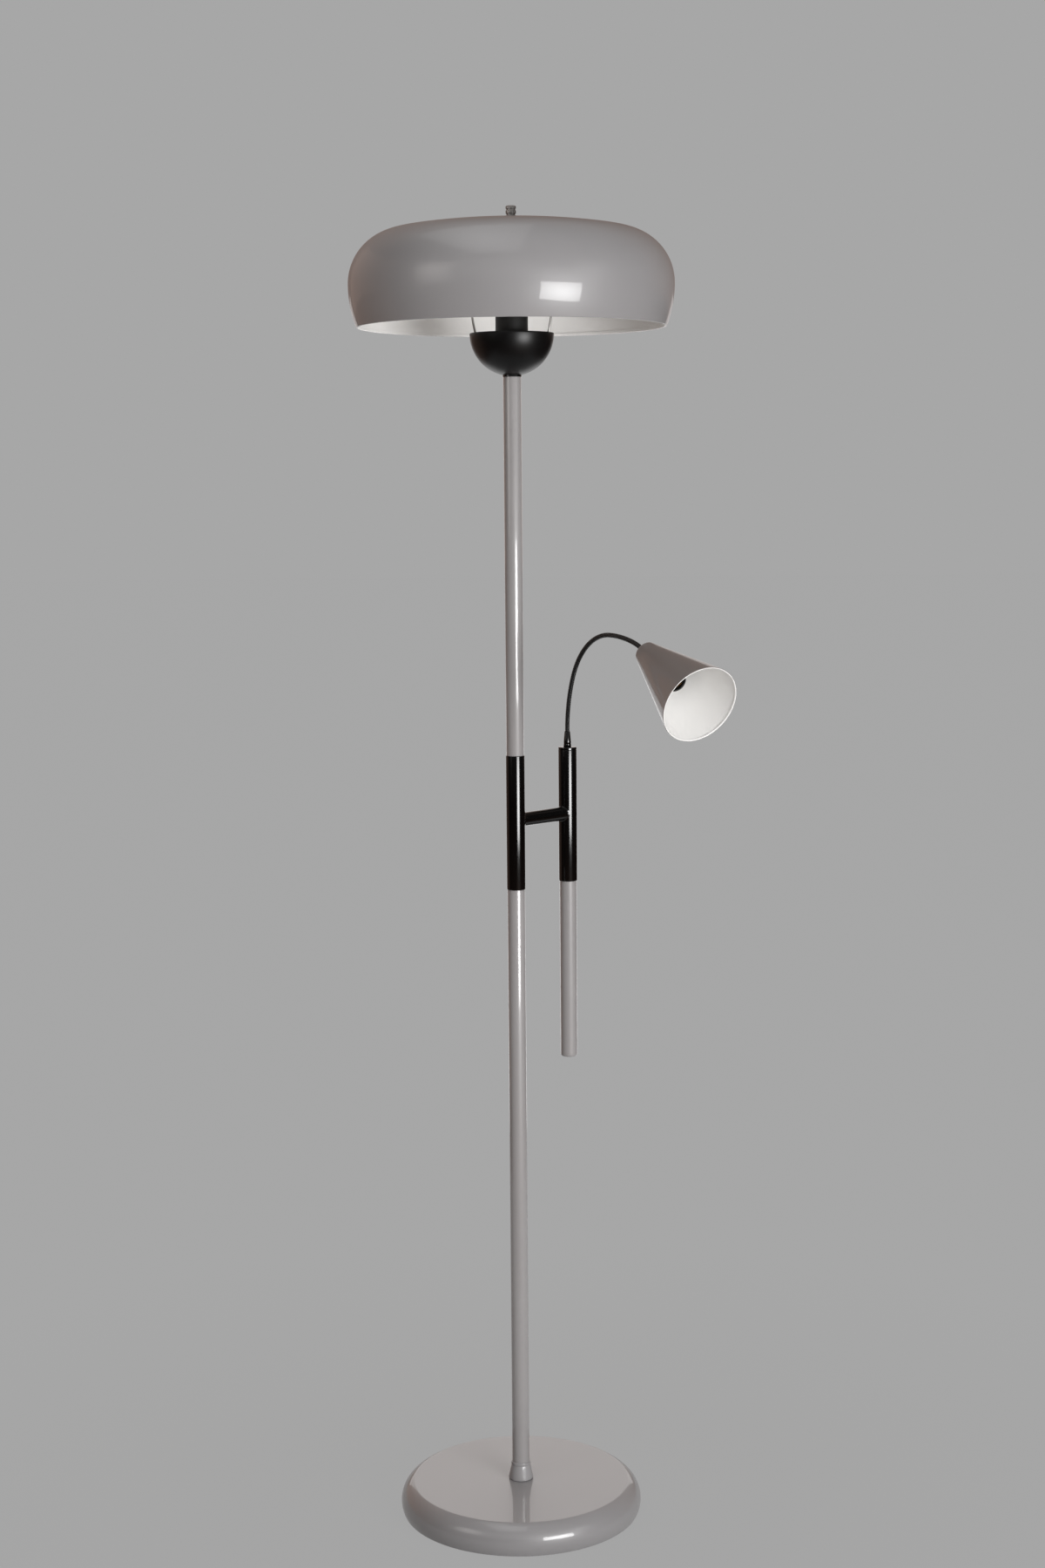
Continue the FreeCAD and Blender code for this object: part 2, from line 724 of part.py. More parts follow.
def harp_wire(side):
    """Sprung wire from the saddle's ear, out past the lamp and in to the hub at the top."""
    wide_z = cup_centre_z + harp_wide_above_cup
    corner = harp_half_w - harp_hub_d / 2
    foot_z = harp_foot_z()
    _, lean = harp_flare_point(foot_z)
    edges = [arc((harp_half_w - harp_flare_r, wide_z), harp_flare_r, -lean, 0),
             line((harp_half_w, wide_z), (harp_half_w, harp_top_z() - corner)),
             arc((harp_hub_d / 2, harp_top_z() - corner), corner, 0, 90)]
    path = Part.Wire(edges)
    half, _ = harp_flare_point(foot_z)
    along = V(math.sin(math.radians(lean)), 0, math.cos(math.radians(lean)))
    section = Part.Wire([Part.makeCircle(harp_wire_d / 2, V(half, 0, foot_z), along)])
    wire = path.makePipeShell([section], True, False)
    return wire if side > 0 else wire.mirror(V(0, 0, 0), V(1, 0, 0))


def harp_stud():
    low = harp_top_z() - harp_hub_t / 2
    top = shade_top_level() + finial_h * finial_thread
    r = harp_hub_d / 2
    return turned([(0, low), (r, low), (r, low + harp_hub_t), (stud_d / 2, low + harp_hub_t),
                   (stud_d / 2, top), (0, top)])


def holder_cap():
    r = holder_d / 2
    low, top = holder_z, holder_z + holder_cap_h
    bore = nipple_d / 2
    return turned([(bore, low), (holder_foot_d / 2, low), (r - holder_cap_step, low + holder_cap_taper_h),
                   (r - holder_cap_rim, top), (bore, top)])


def holder_floor():
    """Inner floor of the main lampholder, under its contact and thread."""
    return holder_top_z - thread_drop - thread_len - contact_gap - contact_h


def holder_barrel():
    r = holder_d / 2
    low, top = holder_z + holder_cap_h, holder_top_z
    wall_r = r - holder_wall
    return turned([(wall_r, low), (r - holder_groove, low), (r - holder_groove, low + holder_gap),
                   (r, low + holder_gap), (r, top - holder_lip_edge), (r - holder_lip_edge, top),
                   (wall_r, top)])


def holder_block():
    """Insulating block in the foot of the barrel; it carries the contact and the thread."""
    return tube(holder_d / 2 - holder_wall, nipple_d / 2, holder_z + holder_cap_h, holder_floor())


def holder_thread():
    top = holder_top_z - thread_drop
    low = top - thread_len
    bore = thread_d / 2
    outer = bore + thread_sheet
    seat_r = holder_d / 2 - holder_wall
    return turned([(bore, low), (seat_r, low), (seat_r, low + thread_flange),
                   (outer, low + thread_flange), (outer, top), (bore, top)])


def holder_contact():
    floor = holder_floor()
    r, tip = contact_d / 2, contact_tip_d / 2
    return turned([(0, floor), (r, floor), (r, floor + contact_t), (tip, floor + contact_h),
                   (0, floor + contact_h)])


def top_nipple():
    return tube(nipple_d / 2, nipple_bore / 2, pole_top_z - nipple_grip, holder_z + holder_cap_h)


# ---- main shade --------------------------------------------------------------------------------
def shade_levels(inset):
    """Radius and centre height of the crown's arc, for the skin moved inwards by the inset."""
    end = math.radians(shade_shoulder_end)
    r_in = shade_shoulder_r - inset
    centre_r = shade_d / 2 - shade_shoulder_r
    crown_r = centre_r / math.cos(end) + r_in
    centre_z = shade_wide_z + (r_in - crown_r) * math.sin(end)
    return crown_r, centre_z


def shade_top_level():
    crown_r, centre_z = shade_levels(0.0)
    return centre_z + crown_r


def shade_inner_top():
    crown_r, centre_z = shade_levels(shade_wall)
    return centre_z + crown_r


def shade_skin(inset, rim_lift):
    """Edges of one side of the spun dome: crown, shoulder and skirt, and their end points."""
    crown_r, centre_z = shade_levels(inset)
    hole_r = shade_hole_d / 2
    crown_start = math.degrees(math.acos(hole_r / crown_r))
    skirt_r = shade_skirt_r - inset
    rim_turn = math.degrees(math.asin((shade_rim_drop - rim_lift) / skirt_r))
    skirt_centre = (shade_d / 2 - shade_skirt_r, shade_wide_z)
    edges = [arc((0, centre_z), crown_r, shade_shoulder_end, crown_start),
             arc((shade_d / 2 - shade_shoulder_r, shade_wide_z), shade_shoulder_r - inset, 0,
                 shade_shoulder_end),
             arc(skirt_centre, skirt_r, -rim_turn, 0)]
    hole = (hole_r, centre_z + crown_r * math.sin(math.radians(crown_start)))
    rim = (skirt_centre[0] + skirt_r * math.cos(math.radians(rim_turn)),
           shade_wide_z - shade_rim_drop + rim_lift)
    return edges, hole, rim


def main_shade():
    """Spun dome whose rim is folded in to a hem."""
    outer, outer_hole, outer_rim = shade_skin(0.0, 0.0)
    inner, inner_hole, inner_rim = shade_skin(shade_wall, shade_hem_h)
    hem = polyline([outer_rim, (outer_rim[0] - 2 * shade_wall, outer_rim[1]),
                    (inner_rim[0] - shade_wall, inner_rim[1]), inner_rim])
    return spin(outer + inner + hem + [line(outer_hole, inner_hole)])


def shade_washer():
    low = shade_inner_top() - shade_washer_t
    return tube(shade_washer_d / 2, stud_d / 2 + seat_gap, low, low + shade_washer_t - washer_play)


def finial_nut():
    """Blind nut with a flared foot, a neck and a ringed knob."""
    low = shade_top_level()
    top = low + finial_h
    foot, neck, knob = finial_foot_d / 2, finial_neck_d / 2, finial_knob_d / 2
    waist = knob - finial_groove
    flare = low + finial_foot_h + finial_flare_h
    ring = flare + finial_neck_h
    groove = ring + finial_band_h
    blind = low + finial_h * finial_thread
    return turned([(stud_d / 2, low), (foot, low), (foot, low + finial_foot_h), (neck, flare),
                   (neck, ring), (knob, ring), (knob, groove), (waist, groove + finial_groove_h / 4),
                   (waist, groove + finial_groove_h * 3 / 4), (knob, groove + finial_groove_h),
                   (knob, top - finial_edge), (knob - finial_edge, top), (0, top),
                   (0, blind), (stud_d / 2, blind)])


# ---- flex through the stand ----------------------------------------------------------------------
def main_cable():
    """Mains flex from the grommet, under the weight and up through the poles to the lampholder."""
    bend = cable_bend_r
    top = holder_z
    edges = [Part.makeLine(V(0, base_r, grommet_z), V(0, bend, grommet_z)),
             Part.Arc(V(0, bend, grommet_z),
                      V(0, bend * (1 - math.sqrt(0.5)), grommet_z + bend * (1 - math.sqrt(0.5))),
                      V(0, 0, grommet_z + bend)).toShape(),
             Part.makeLine(V(0, 0, grommet_z + bend), V(0, 0, top))]
    section = Part.Wire([Part.makeCircle(cable_d / 2, V(0, base_r, grommet_z), V(0, 1, 0))])
    return Part.Wire(edges).makePipeShell([section], True, False)


# ---- export ------------------------------------------------------------------------------------
def build():
    nodes = {
        "base_shell": base_shell(),
        "base_weight": base_weight(),
        "base_plate": base_plate(),
        "base_plate_screws": base_plate_screws(),
        "felt_pad": felt_pad(),
        "cord_grommet": cord_grommet(),
        "foot_nut": tube_nut(recess_top_z - washer_t - nut_t),
        "foot_washer": foot_washer(),
        "foot_nipple": tube(nipple_d / 2, nipple_bore / 2, foot_nipple_z, base_h + nipple_grip),
        "foot_insert": pole_insert(base_h, base_h + insert_len),
        "foot_collar": foot_collar(),
        "lower_pole": tube(pole_r, pole_in_r, base_h, sleeve_z),
        "pole_core": pole_core(),
        "upper_pole": tube(pole_r, pole_in_r, sleeve_top_z, pole_top_z),
        "top_insert": pole_insert(pole_top_z - insert_len, pole_top_z),
        "top_nipple": top_nipple(),
        "neck_ring": neck_ring(),
        "cup": cup(),
        "cup_nut": tube_nut(cup_inside_z),
        "harp_saddle": harp_saddle(),
        "harp_wire_right": harp_wire(1),
        "harp_wire_left": harp_wire(-1),
        "harp_stud": harp_stud(),
        "lampholder_cap": holder_cap(),
        "lampholder_barrel": holder_barrel(),
        "lampholder_block": holder_block(),
        "lampholder_thread": holder_thread(),
        "lampholder_contact": holder_contact(),
        "shade_washer": shade_washer(),
        "main_shade": main_shade(),
        "finial_nut": finial_nut(),
        "main_cable": main_cable(),
        "pole_sleeve": sleeve(flex_hole_d, V(0, 0, 0), bar_dir),
        "arm_sleeve": sleeve(2 * bar_in_r, arm_foot, bar_dir * -1),
        "crossbar": crossbar(),
        "lower_bush": bush(sleeve_z),
        "upper_bush": bush(sleeve_top_z - bush_len),
        "brake_shoe": brake_shoe(),
        "brake_cushion": brake_cushion(),
        "arm_tube": arm_tube(),
        "arm_cap": arm_cap(),
        "arm_end_plug": arm_end_plug(),
        "neck_ferrule": neck_ferrule(),
        "cone_boot": cone_boot(),
        "cone_shade": cone_shade(),
        "cone_nut": cone_nut(),
        "reading_holder": small_holder(),
        "reading_thread": small_thread(),
        "reading_contact": small_contact(),
    }
    for index in range(link_count):
        nodes["neck_link_%d" % (index + 1)] = neck_link(index)
    return nodes


for name, shape in build().items():
    if not shape.isValid():
        print("not valid:", name)
    shape.exportStep("parts/%s.step" % name)
    print("%-20s %d solid(s) %10.1f mm3" % (name, len(shape.Solids), shape.Volume))
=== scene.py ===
import math

import bmesh
import bpy
from mathutils import Matrix, Vector


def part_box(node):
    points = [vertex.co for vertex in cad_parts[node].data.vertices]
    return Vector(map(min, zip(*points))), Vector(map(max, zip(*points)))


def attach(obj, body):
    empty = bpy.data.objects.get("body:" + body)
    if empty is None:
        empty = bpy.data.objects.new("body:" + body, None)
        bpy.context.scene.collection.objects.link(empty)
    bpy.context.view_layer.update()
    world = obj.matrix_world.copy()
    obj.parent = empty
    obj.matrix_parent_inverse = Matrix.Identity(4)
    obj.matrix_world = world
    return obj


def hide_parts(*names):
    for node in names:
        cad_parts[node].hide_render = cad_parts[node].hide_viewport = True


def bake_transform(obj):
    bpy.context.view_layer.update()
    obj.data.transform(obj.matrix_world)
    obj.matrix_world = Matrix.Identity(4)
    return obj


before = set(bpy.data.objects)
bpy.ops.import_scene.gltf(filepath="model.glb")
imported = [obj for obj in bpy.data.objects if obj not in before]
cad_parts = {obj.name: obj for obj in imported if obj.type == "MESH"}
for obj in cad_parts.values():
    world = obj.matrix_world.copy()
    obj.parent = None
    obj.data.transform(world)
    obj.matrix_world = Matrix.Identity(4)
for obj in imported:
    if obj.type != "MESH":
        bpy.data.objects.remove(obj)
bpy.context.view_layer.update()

# ---- dimensions repeated from the CAD, in metres -----------------------------------------------
MM = 0.001
BASE_TOP = 35.0 * MM           # flat top of the base, on which the pole stands
POLE_R = 10.0 * MM
POLE_BORE_R = 8.8 * MM
POLE_TOP = 1307.8 * MM
REACH = 85.0 * MM              # from the pole's axis to the arm's
BAR_TURN = math.radians(45)    # direction of the crossbar about the pole
ARM_FOOT = Vector((REACH * math.cos(BAR_TURN), REACH * math.sin(BAR_TURN), 0))
BAR_DIR = ARM_FOOT.normalized()
BAR_R = 8.0 * MM
BAR_Z = 812.0 * MM
SLEEVE_R = 10.75 * MM
SLEEVE_BORE_R = 9.85 * MM
SLEEVE_Z = 733.0 * MM          # the sleeves' lower end
SLEEVE_TOP = 886.0 * MM
ARM_R = 9.8 * MM
ARM_LOW = 525.0 * MM
ARM_FIT_R = 8.6 * MM           # what sits in the arm tube's bore
CAP_TOP = SLEEVE_TOP + 3 * MM  # top of the arm's cap
NECK_TURN = math.radians(30.1)
NECK_OUT = Vector((math.sin(NECK_TURN), -math.cos(NECK_TURN), 0))
NECK_SIDE = Vector((0, 0, 1)).cross(NECK_OUT)
HOSE_START = SLEEVE_TOP + 6.0 * MM
HOSE_RISE = 16.0 * MM          # straight stretch below the first bend
HOSE_BENDS = [(154.6 * MM, 24.0), (86.4 * MM, 65.4), (203.0 * MM, 13.8), (92.0 * MM, 12.0)]
HOSE_R = 2.7 * MM
HOSE_LEN = HOSE_RISE + sum(r * math.radians(t) for r, t in HOSE_BENDS) + 2 * HOSE_R
ROOT_LINK = 60.0 * MM          # lowest link of the hose; four equal ones follow it
LINK = (HOSE_LEN - ROOT_LINK) / 4
LINK_ENDS = [0.0] + [ROOT_LINK + LINK * i for i in range(5)]
CONE_LEN = 117.0 * MM
CONE_BACK_D = 25.0 * MM
CONE_MOUTH_D = 90.0 * MM
CUP_R = 46.8 * MM
CUP_FOOT_R = 10.5 * MM         # flat under the cup
CUP_FLOOR = 1309.8 * MM
CUP_C = CUP_FLOOR + math.sqrt(CUP_R ** 2 - CUP_FOOT_R ** 2)    # centre of its round, its edge
NIPPLE_HOLE_R = 5.2 * MM       # hole in the base and in the cup


# ---- node materials ----------------------------------------------------------------------------
MOTTLE_SCALE = 14.0            # size of the broad patches of slightly different tone and gloss
MOTTLE_BAND = (0.35, 0.65)     # noise levels between which the tone changes


def linear(rgb):
    """Linear colour from 0-255 display values."""
    out = []
    for c in rgb:
        c = c / 255.0
        out.append(c / 12.92 if c <= 0.04045 else ((c + 0.055) / 1.055) ** 2.4)
    return (*out, 1.0)


def material(name, rgb, rough, spread, grain, bump, bump_depth, tone=0.0, second=None,
             metal=0.0, coat=0.0, coat_rough=0.05, specular=0.5):
    """Paint, plastic or metal with object-space mottling, roughness variation and surface grain.

    The mottling goes from the colour to the second one, or to the same one darker by tone."""
    mat = bpy.data.materials.new(name)
    mat.use_nodes = True
    tree = mat.node_tree
    shader = tree.nodes["Principled BSDF"]
    place = tree.nodes.new("ShaderNodeTexCoord")

    def noise(scale, detail):
        one = tree.nodes.new("ShaderNodeTexNoise")
        one.inputs["Scale"].default_value = scale
        one.inputs["Detail"].default_value = detail
        tree.links.new(place.outputs["Object"], one.inputs["Vector"])
        return one.outputs["Fac"]
    broad = noise(MOTTLE_SCALE, 4.0)
    base = linear(rgb)
    other = linear(second) if second else tuple(c * (1 - tone) for c in base[:3]) + (1.0,)
    colours = tree.nodes.new("ShaderNodeValToRGB")
    for stop, position, colour in zip(colours.color_ramp.elements, MOTTLE_BAND, (other, base)):
        stop.position = position
        stop.color = colour
    tree.links.new(broad, colours.inputs["Fac"])
    tree.links.new(colours.outputs["Color"], shader.inputs["Base Color"])
    level = tree.nodes.new("ShaderNodeMapRange")
    level.inputs["To Min"].default_value = rough - spread
    level.inputs["To Max"].default_value = rough + spread
    tree.links.new(broad, level.inputs["Value"])
    tree.links.new(level.outputs["Result"], shader.inputs["Roughness"])
    relief = tree.nodes.new("ShaderNodeBump")
    relief.inputs["Strength"].default_value = bump
    relief.inputs["Distance"].default_value = bump_depth
    tree.links.new(noise(grain, 2.0), relief.inputs["Height"])
    tree.links.new(relief.outputs["Normal"], shader.inputs["Normal"])
    shader.inputs["Metallic"].default_value = metal
    shader.inputs["Specular IOR Level"].default_value = specular
    shader.inputs["Coat Weight"].default_value = coat
    shader.inputs["Coat Roughness"].default_value = coat_rough
    return mat


ENAMEL = dict(rough=0.4, spread=0.04, tone=0.02, grain=90.0, bump_depth=0.0004)
GREY = material("grey_gloss_enamel", (151, 149, 150), coat=0.43, coat_rough=0.03, bump=0.006,
                **ENAMEL)
GREY_BASE = material("grey_base_enamel", (144, 142, 143), coat=0.68, coat_rough=0.02,
                     bump=0.003, **ENAMEL)
# painted shade: the dome's grey enamel made darker for the shade the cone sits in, and warmer as a
# painted reflection of the brown floor
SHADED_GREY_CONE = material("grey_enamel_painted_shade", (133, 127, 125), coat=0.5, coat_rough=0.03, bump=0.006,
                     **ENAMEL)
GREY_TUBE = material("grey_tube_enamel", (157, 154, 154), 0.38, coat=0.9, coat_rough=0.07,
                     spread=0.05, tone=0.03, grain=120.0, bump=0.004, bump_depth=0.0002)
WHITE = material("white_inner_enamel", (246, 245, 243), 0.42, coat=0.15, coat_rough=0.3,
                 spread=0.06, tone=0.03, grain=120.0, bump=0.02, bump_depth=0.0004)
SATIN = material("satin_black_paint", (8, 8, 9), 0.36, spread=0.05, tone=0.3, grain=1400.0,
                 bump=0.05, bump_depth=0.0001, specular=0.32)
TUBE_BLACK = material("semi_gloss_black_paint", (8, 7, 7), 0.135, spread=0.015, tone=0.3,
                      grain=300.0, bump=0.006, bump_depth=0.0001)
HOSE_BLACK = material("black_hose_coat", (13, 13, 14), 0.3, spread=0.06, tone=0.3,
                      grain=1500.0, bump=0.06, bump_depth=0.0001)
NICKEL = material("dark_nickel_plate", (158, 154, 151), 0.3, metal=0.55, spread=0.06, tone=0.15,
                  grain=1800.0, bump=0.06, bump_depth=0.00008)
WIRE = material("bright_spring_wire", (176, 174, 172), 0.3, metal=1.0, spread=0.07, tone=0.12,
                grain=1500.0, bump=0.05, bump_depth=0.00008)
ZINC = material("zinc_plate", (180, 180, 178), 0.38, metal=1.0, spread=0.1, tone=0.2,
                grain=1200.0, bump=0.1, bump_depth=0.0001)
BRASS = material("bare_brass", (196, 160, 92), 0.32, metal=1.0, spread=0.08, tone=0.2,
                 grain=1500.0, bump=0.06, bump_depth=0.00008)
CAST = material("grey_casting", (74, 72, 70), 0.75, metal=0.4, spread=0.12, tone=0.3,
                grain=420.0, bump=0.5, bump_depth=0.0006)
SOCKET_BLACK = material("matt_black_moulding", (17, 17, 17), 0.5, spread=0.06, tone=0.2,
                        grain=1600.0, bump=0.15, bump_depth=0.00012, specular=0.4)
NYLON = material("white_nylon", (218, 216, 208), 0.5, spread=0.06, tone=0.05, grain=1300.0,
                 bump=0.1, bump_depth=0.0001)
RUBBER = material("black_rubber", (24, 24, 24), 0.7, spread=0.08, tone=0.25, grain=1800.0,
                  bump=0.25, bump_depth=0.00015, specular=0.3)
FELT = material("pressed_felt", (34, 33, 33), 0.95, spread=0.03, second=(22, 21, 21),
                grain=2200.0, bump=0.9, bump_depth=0.0008, specular=0.15)


# ---- mesh helpers ------------------------------------------------------------------------------
SHARP = math.radians(38)       # edges that turn by more than this are shaded sharp
ON_AXIS = 1e-7                 # a point nearer to the axis than this lies on it


def mesh_piece(name, verts, faces, mat, body, nodes=(), smooth=True, marks=None):
    """Object from vertices and faces; marks gives a material index for each face."""
    data = bpy.data.meshes.new(name)
    data.from_pydata([tuple(v) for v in verts], [], faces)
    data.update()
    piece = bpy.data.objects.new(name, data)
    bpy.context.scene.collection.objects.link(piece)
    for one in (mat if isinstance(mat, list) else [mat]):
        data.materials.append(one)
    if marks:
        for face, mark in zip(data.polygons, marks):
            face.material_index = mark
    work = bmesh.new()
    work.from_mesh(data)
    bmesh.ops.recalc_face_normals(work, faces=work.faces)
    work.to_mesh(data)
    work.free()
    for face in data.polygons:
        face.use_smooth = smooth
    if smooth:
        data.set_sharp_from_angle(angle=SHARP)
    if body:
        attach(piece, body)
    if nodes:
        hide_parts(*nodes)
    return piece


def frame_of(origin, direction, across):
    """Matrix that takes +Z to the direction and +X to the given crosswise direction."""
    z = direction.normalized()
    x = (across - z * across.dot(z)).normalized()
    y = z.cross(x)
    rot = Matrix((x, y, z)).transposed().to_4x4()
    return Matrix.Translation(origin) @ rot


def circle(steps):
    """Angles of evenly spaced points round a circle."""
    return [2 * math.pi * k / steps for k in range(steps)]


def band_faces(first, second, steps):
    """Quads between two rings of vertices, given the index at which each ring starts."""
    faces = []
    for k in range(steps):
        n = (k + 1) % steps
        faces.append((first + k, first + n, second + n, second + k))
    return faces


def stack_faces(rows, steps, start=0):
    """Quads that join each ring of a stack to the next one."""
    faces = []
    for i in range(rows - 1):
        faces += band_faces(start + i * steps, start + (i + 1) * steps, steps)
    return faces


def revolve(profile, steps, shape, place):
    """Closed surface of revolution about Z from a closed (r, z) outline.

    A point on the axis becomes one vertex. shape(i, angle, r, z) may move a point. The third
    list says which stretch of the outline each face comes from."""
    verts, rings = [], []
    for i, (r, z) in enumerate(profile):
        if r < ON_AXIS:
            rings.append([len(verts)])
            verts.append(Vector((0, 0, z)))
            continue
        ring = []
        for a in circle(steps):
            rr, zz = shape(i, a, r, z) if shape else (r, z)
            ring.append(len(verts))
            verts.append(Vector((rr * math.cos(a), rr * math.sin(a), zz)))
        rings.append(ring)
    faces, owner = [], []
    count = len(profile)
    for i in range(count):
        a, b = rings[i], rings[(i + 1) % count]
        if len(a) == 1 and len(b) == 1:
            continue
        for k in range(steps):
            n = (k + 1) % steps
            if len(a) == 1:
                faces.append((a[0], b[k], b[n]))
            elif len(b) == 1:
                faces.append((a[k], a[n], b[0]))
            else:
                faces.append((a[k], a[n], b[n], b[k]))
            owner.append(i)
    if place is not None:
        verts = [place @ v for v in verts]
    return verts, faces, owner


def turned(name, profile, mat, body, nodes, steps=96, shape=None, place=None, inner=None):
    """Turned piece. The outline's stretches from inner[0] to inner[1] take the second material."""
    verts, faces, owner = revolve(profile, steps, shape, place)
    marks = None
    if inner:
        marks = [1 if inner[0] <= i < inner[1] else 0 for i in owner]
    mesh_piece(name, verts, faces, mat, body, nodes, marks=marks)


def arc_points(centre, radius, start, end, count):
    """Points of an arc in the r-z plane, angles in degrees, both ends included."""
    out = []
    for i in range(count + 1):
        a = math.radians(start + (end - start) * i / count)
        out.append((centre[0] + radius * math.cos(a), centre[1] + radius * math.sin(a)))
    return out


def tube_outline(bore, radius, low, high, low_edge, high_edge, low_steps):
    """Outline of a tube with rounded outer edges."""
    points = [(bore, low), (radius - low_edge, low)]
    points += arc_points((radius - low_edge, low + low_edge), low_edge, -90, 0, low_steps)[1:]
    points += [(radius, high - high_edge)]
    points += arc_points((radius - high_edge, high - high_edge), high_edge, 0, 90, 4)[1:]
    return points + [(bore, high)]


def from_mm(points, level=0.0):
    """Outline given in millimetres, in metres and moved up to a level."""
    return [(r * MM, level + z * MM) for r, z in points]


# ---- base --------------------------------------------------------------------------------------
def base_disc():
    """Shell of the base: flat top, small rounded edge, bulging side, and an edge tucked under."""
    wall = 1.5 * MM
    tuck = 11.0 * MM           # from the widest level down to the lower edge
    under_c, under_r = (114.0 * MM, 12.0 * MM), 26.0 * MM
    over_c, over_r = (115.0 * MM, 12.0 * MM), 25.0 * MM
    edge_c, edge_r = (123.944 * MM, 31.0 * MM), 4.0 * MM
    lean = math.degrees(math.atan2(edge_c[1] - over_c[1], edge_c[0] - over_c[0]))
    drop = math.degrees(math.asin(tuck / under_r))
    drop_in = math.degrees(math.asin(tuck / (under_r - wall)))
    profile = [(r, BASE_TOP) for r in (NIPPLE_HOLE_R, 60 * MM, 100 * MM, 118 * MM)]
    profile += arc_points(edge_c, edge_r, 90, lean, 10)
    profile += arc_points(over_c, over_r, lean, 0, 24)[1:]
    profile += arc_points(under_c, under_r, 0, -drop, 12)[1:]
    profile += arc_points(under_c, under_r - wall, -drop_in, 0, 8)
    profile += arc_points(over_c, over_r - wall, 0, lean, 12)[1:]
    profile += arc_points(edge_c, edge_r - wall, lean, 90, 4)[1:]
    profile += [(NIPPLE_HOLE_R, BASE_TOP - wall)]
    turned("base_disc", profile, GREY_BASE, "stand", ["base_shell"],
           steps=192)


def foot_cone():
    """Tapered collar at the pole's foot with a raised band round its top."""
    bore, foot, band = 10.05, 12.25, 10.75
    profile = [(bore, 0), (foot, 0)]
    profile += arc_points((foot, 2.0), 2.0, -90, 0, 6)[1:]
    profile += [(12.7, 9.5), (11.0, 16.6), (band, 17.3)]
    profile += arc_points((band, 17.8), 0.5, -90, 0, 3)
    profile += [(11.25, 20.2)]
    profile += arc_points((10.65, 20.4), 0.6, 0, 90, 4)[1:]
    profile += [(bore, 21)]
    turned("foot_cone", from_mm(profile, BASE_TOP), GREY, "stand", ["foot_collar"])


def felt_disc():
    """Felt under the base, its edge slightly frayed."""
    edge, thick = 133.3, 2.0

    def fuzz(i, a, r, z):
        wave = 0.00022 * math.sin(57 * a) + 0.00015 * math.sin(131 * a + 1.7)
        return r + wave, z
    profile = [(0, thick), (edge - 2, thick), (edge - 0.4, thick - 0.4), (edge - 0.3, 1.0),
               (edge - 0.7, 0), (0, 0)]
    turned("felt_disc", from_mm(profile), FELT, "stand", ["felt_pad"], steps=360,
           shape=fuzz)


# ---- poles, bracket and arm --------------------------------------------------------------------
def pole_piece(name, node, low, high):
    """Length of the pole with its edges just broken."""
    edge = 0.2 * MM
    profile = tube_outline(POLE_BORE_R, POLE_R, low, high, edge, edge, 4)
    turned(name, profile, GREY_TUBE, "stand", [node])


def sleeve_piece(name, node, at):
    """Sleeve of the bracket, a little rounder at its lower edge."""
    profile = tube_outline(SLEEVE_BORE_R, SLEEVE_R, SLEEVE_Z, SLEEVE_TOP, 0.8 * MM, 0.5 * MM, 6)
    turned(name, profile, TUBE_BLACK, "bracket", [node],
           place=Matrix.Translation(at))


def bracket_bar():
    """Crossbar whose ends follow the round of the sleeves, each with a rippled weld bead."""
    leg = 1.4 * MM             # width of the bead along the bar and up the sleeve
    sunk = 0.35 * MM           # depth of the bead's foot in the sleeve's wall
    depth = 0.1 * MM           # of the ripples
    bead_rows, ripples, steps = 8, 22, 96

    def ring(radius, offset, ripple):
        out = []
        for a in circle(steps):
            rr = radius + ripple * math.sin(ripples * a)
            side = rr * math.cos(a)
            out.append((math.sqrt(SLEEVE_R ** 2 - side ** 2) + offset, side, rr * math.sin(a)))
        return out
    half = [ring(BAR_R + leg * 0.9, -sunk, 0.0)]
    for i in range(bead_rows + 1):
        t = 0.5 * math.pi * i / bead_rows
        half.append(ring(BAR_R + leg * (1 - math.sin(t)), leg * (1 - math.cos(t)),
                         depth * math.sin(2 * t)))
    across = Vector((-BAR_DIR.y, BAR_DIR.x, 0))
    verts = []
    for one in half:
        verts += [BAR_DIR * x + across * y + Vector((0, 0, BAR_Z + z)) for x, y, z in one]
    for one in reversed(half):
        verts += [BAR_DIR * (REACH - x) + across * y + Vector((0, 0, BAR_Z + z))
                  for x, y, z in one]
    mesh_piece("bracket_bar", verts, stack_faces(2 * len(half), steps), TUBE_BLACK, "bracket",
               ["crossbar"])


def arm_pieces():
    """Rounded plug in the arm's lower end and the cap on its upper end."""
    at = Matrix.Translation(ARM_FOOT)
    corner = 3 * MM
    shoulder, plug_top = ARM_LOW + 4 * MM, ARM_LOW + 16 * MM
    plug = [(0, ARM_LOW), (ARM_R - corner, ARM_LOW)]
    plug += arc_points((ARM_R - corner, ARM_LOW + corner), corner, -90, 0, 10)[1:]
    plug += [(ARM_R, shoulder), (ARM_FIT_R, shoulder), (ARM_FIT_R, plug_top), (0, plug_top)]
    turned("arm_end_round", plug, GREY_TUBE, "arm", ["arm_end_plug"],
           place=at)
    bore, edge, chamfer = 4 * MM, 0.7 * MM, 0.3 * MM
    cap_low = SLEEVE_TOP - 12 * MM
    cap = [(bore, cap_low), (ARM_FIT_R, cap_low), (ARM_FIT_R, SLEEVE_TOP),
           (SLEEVE_R - chamfer, SLEEVE_TOP), (SLEEVE_R, SLEEVE_TOP + chamfer),
           (SLEEVE_R, CAP_TOP - edge)]
    cap += arc_points((SLEEVE_R - edge, CAP_TOP - edge), edge, 0, 90, 5)[1:]
    cap += [(bore, CAP_TOP)]
    turned("arm_top_cap", cap, TUBE_BLACK, "arm", ["arm_cap"], place=at)


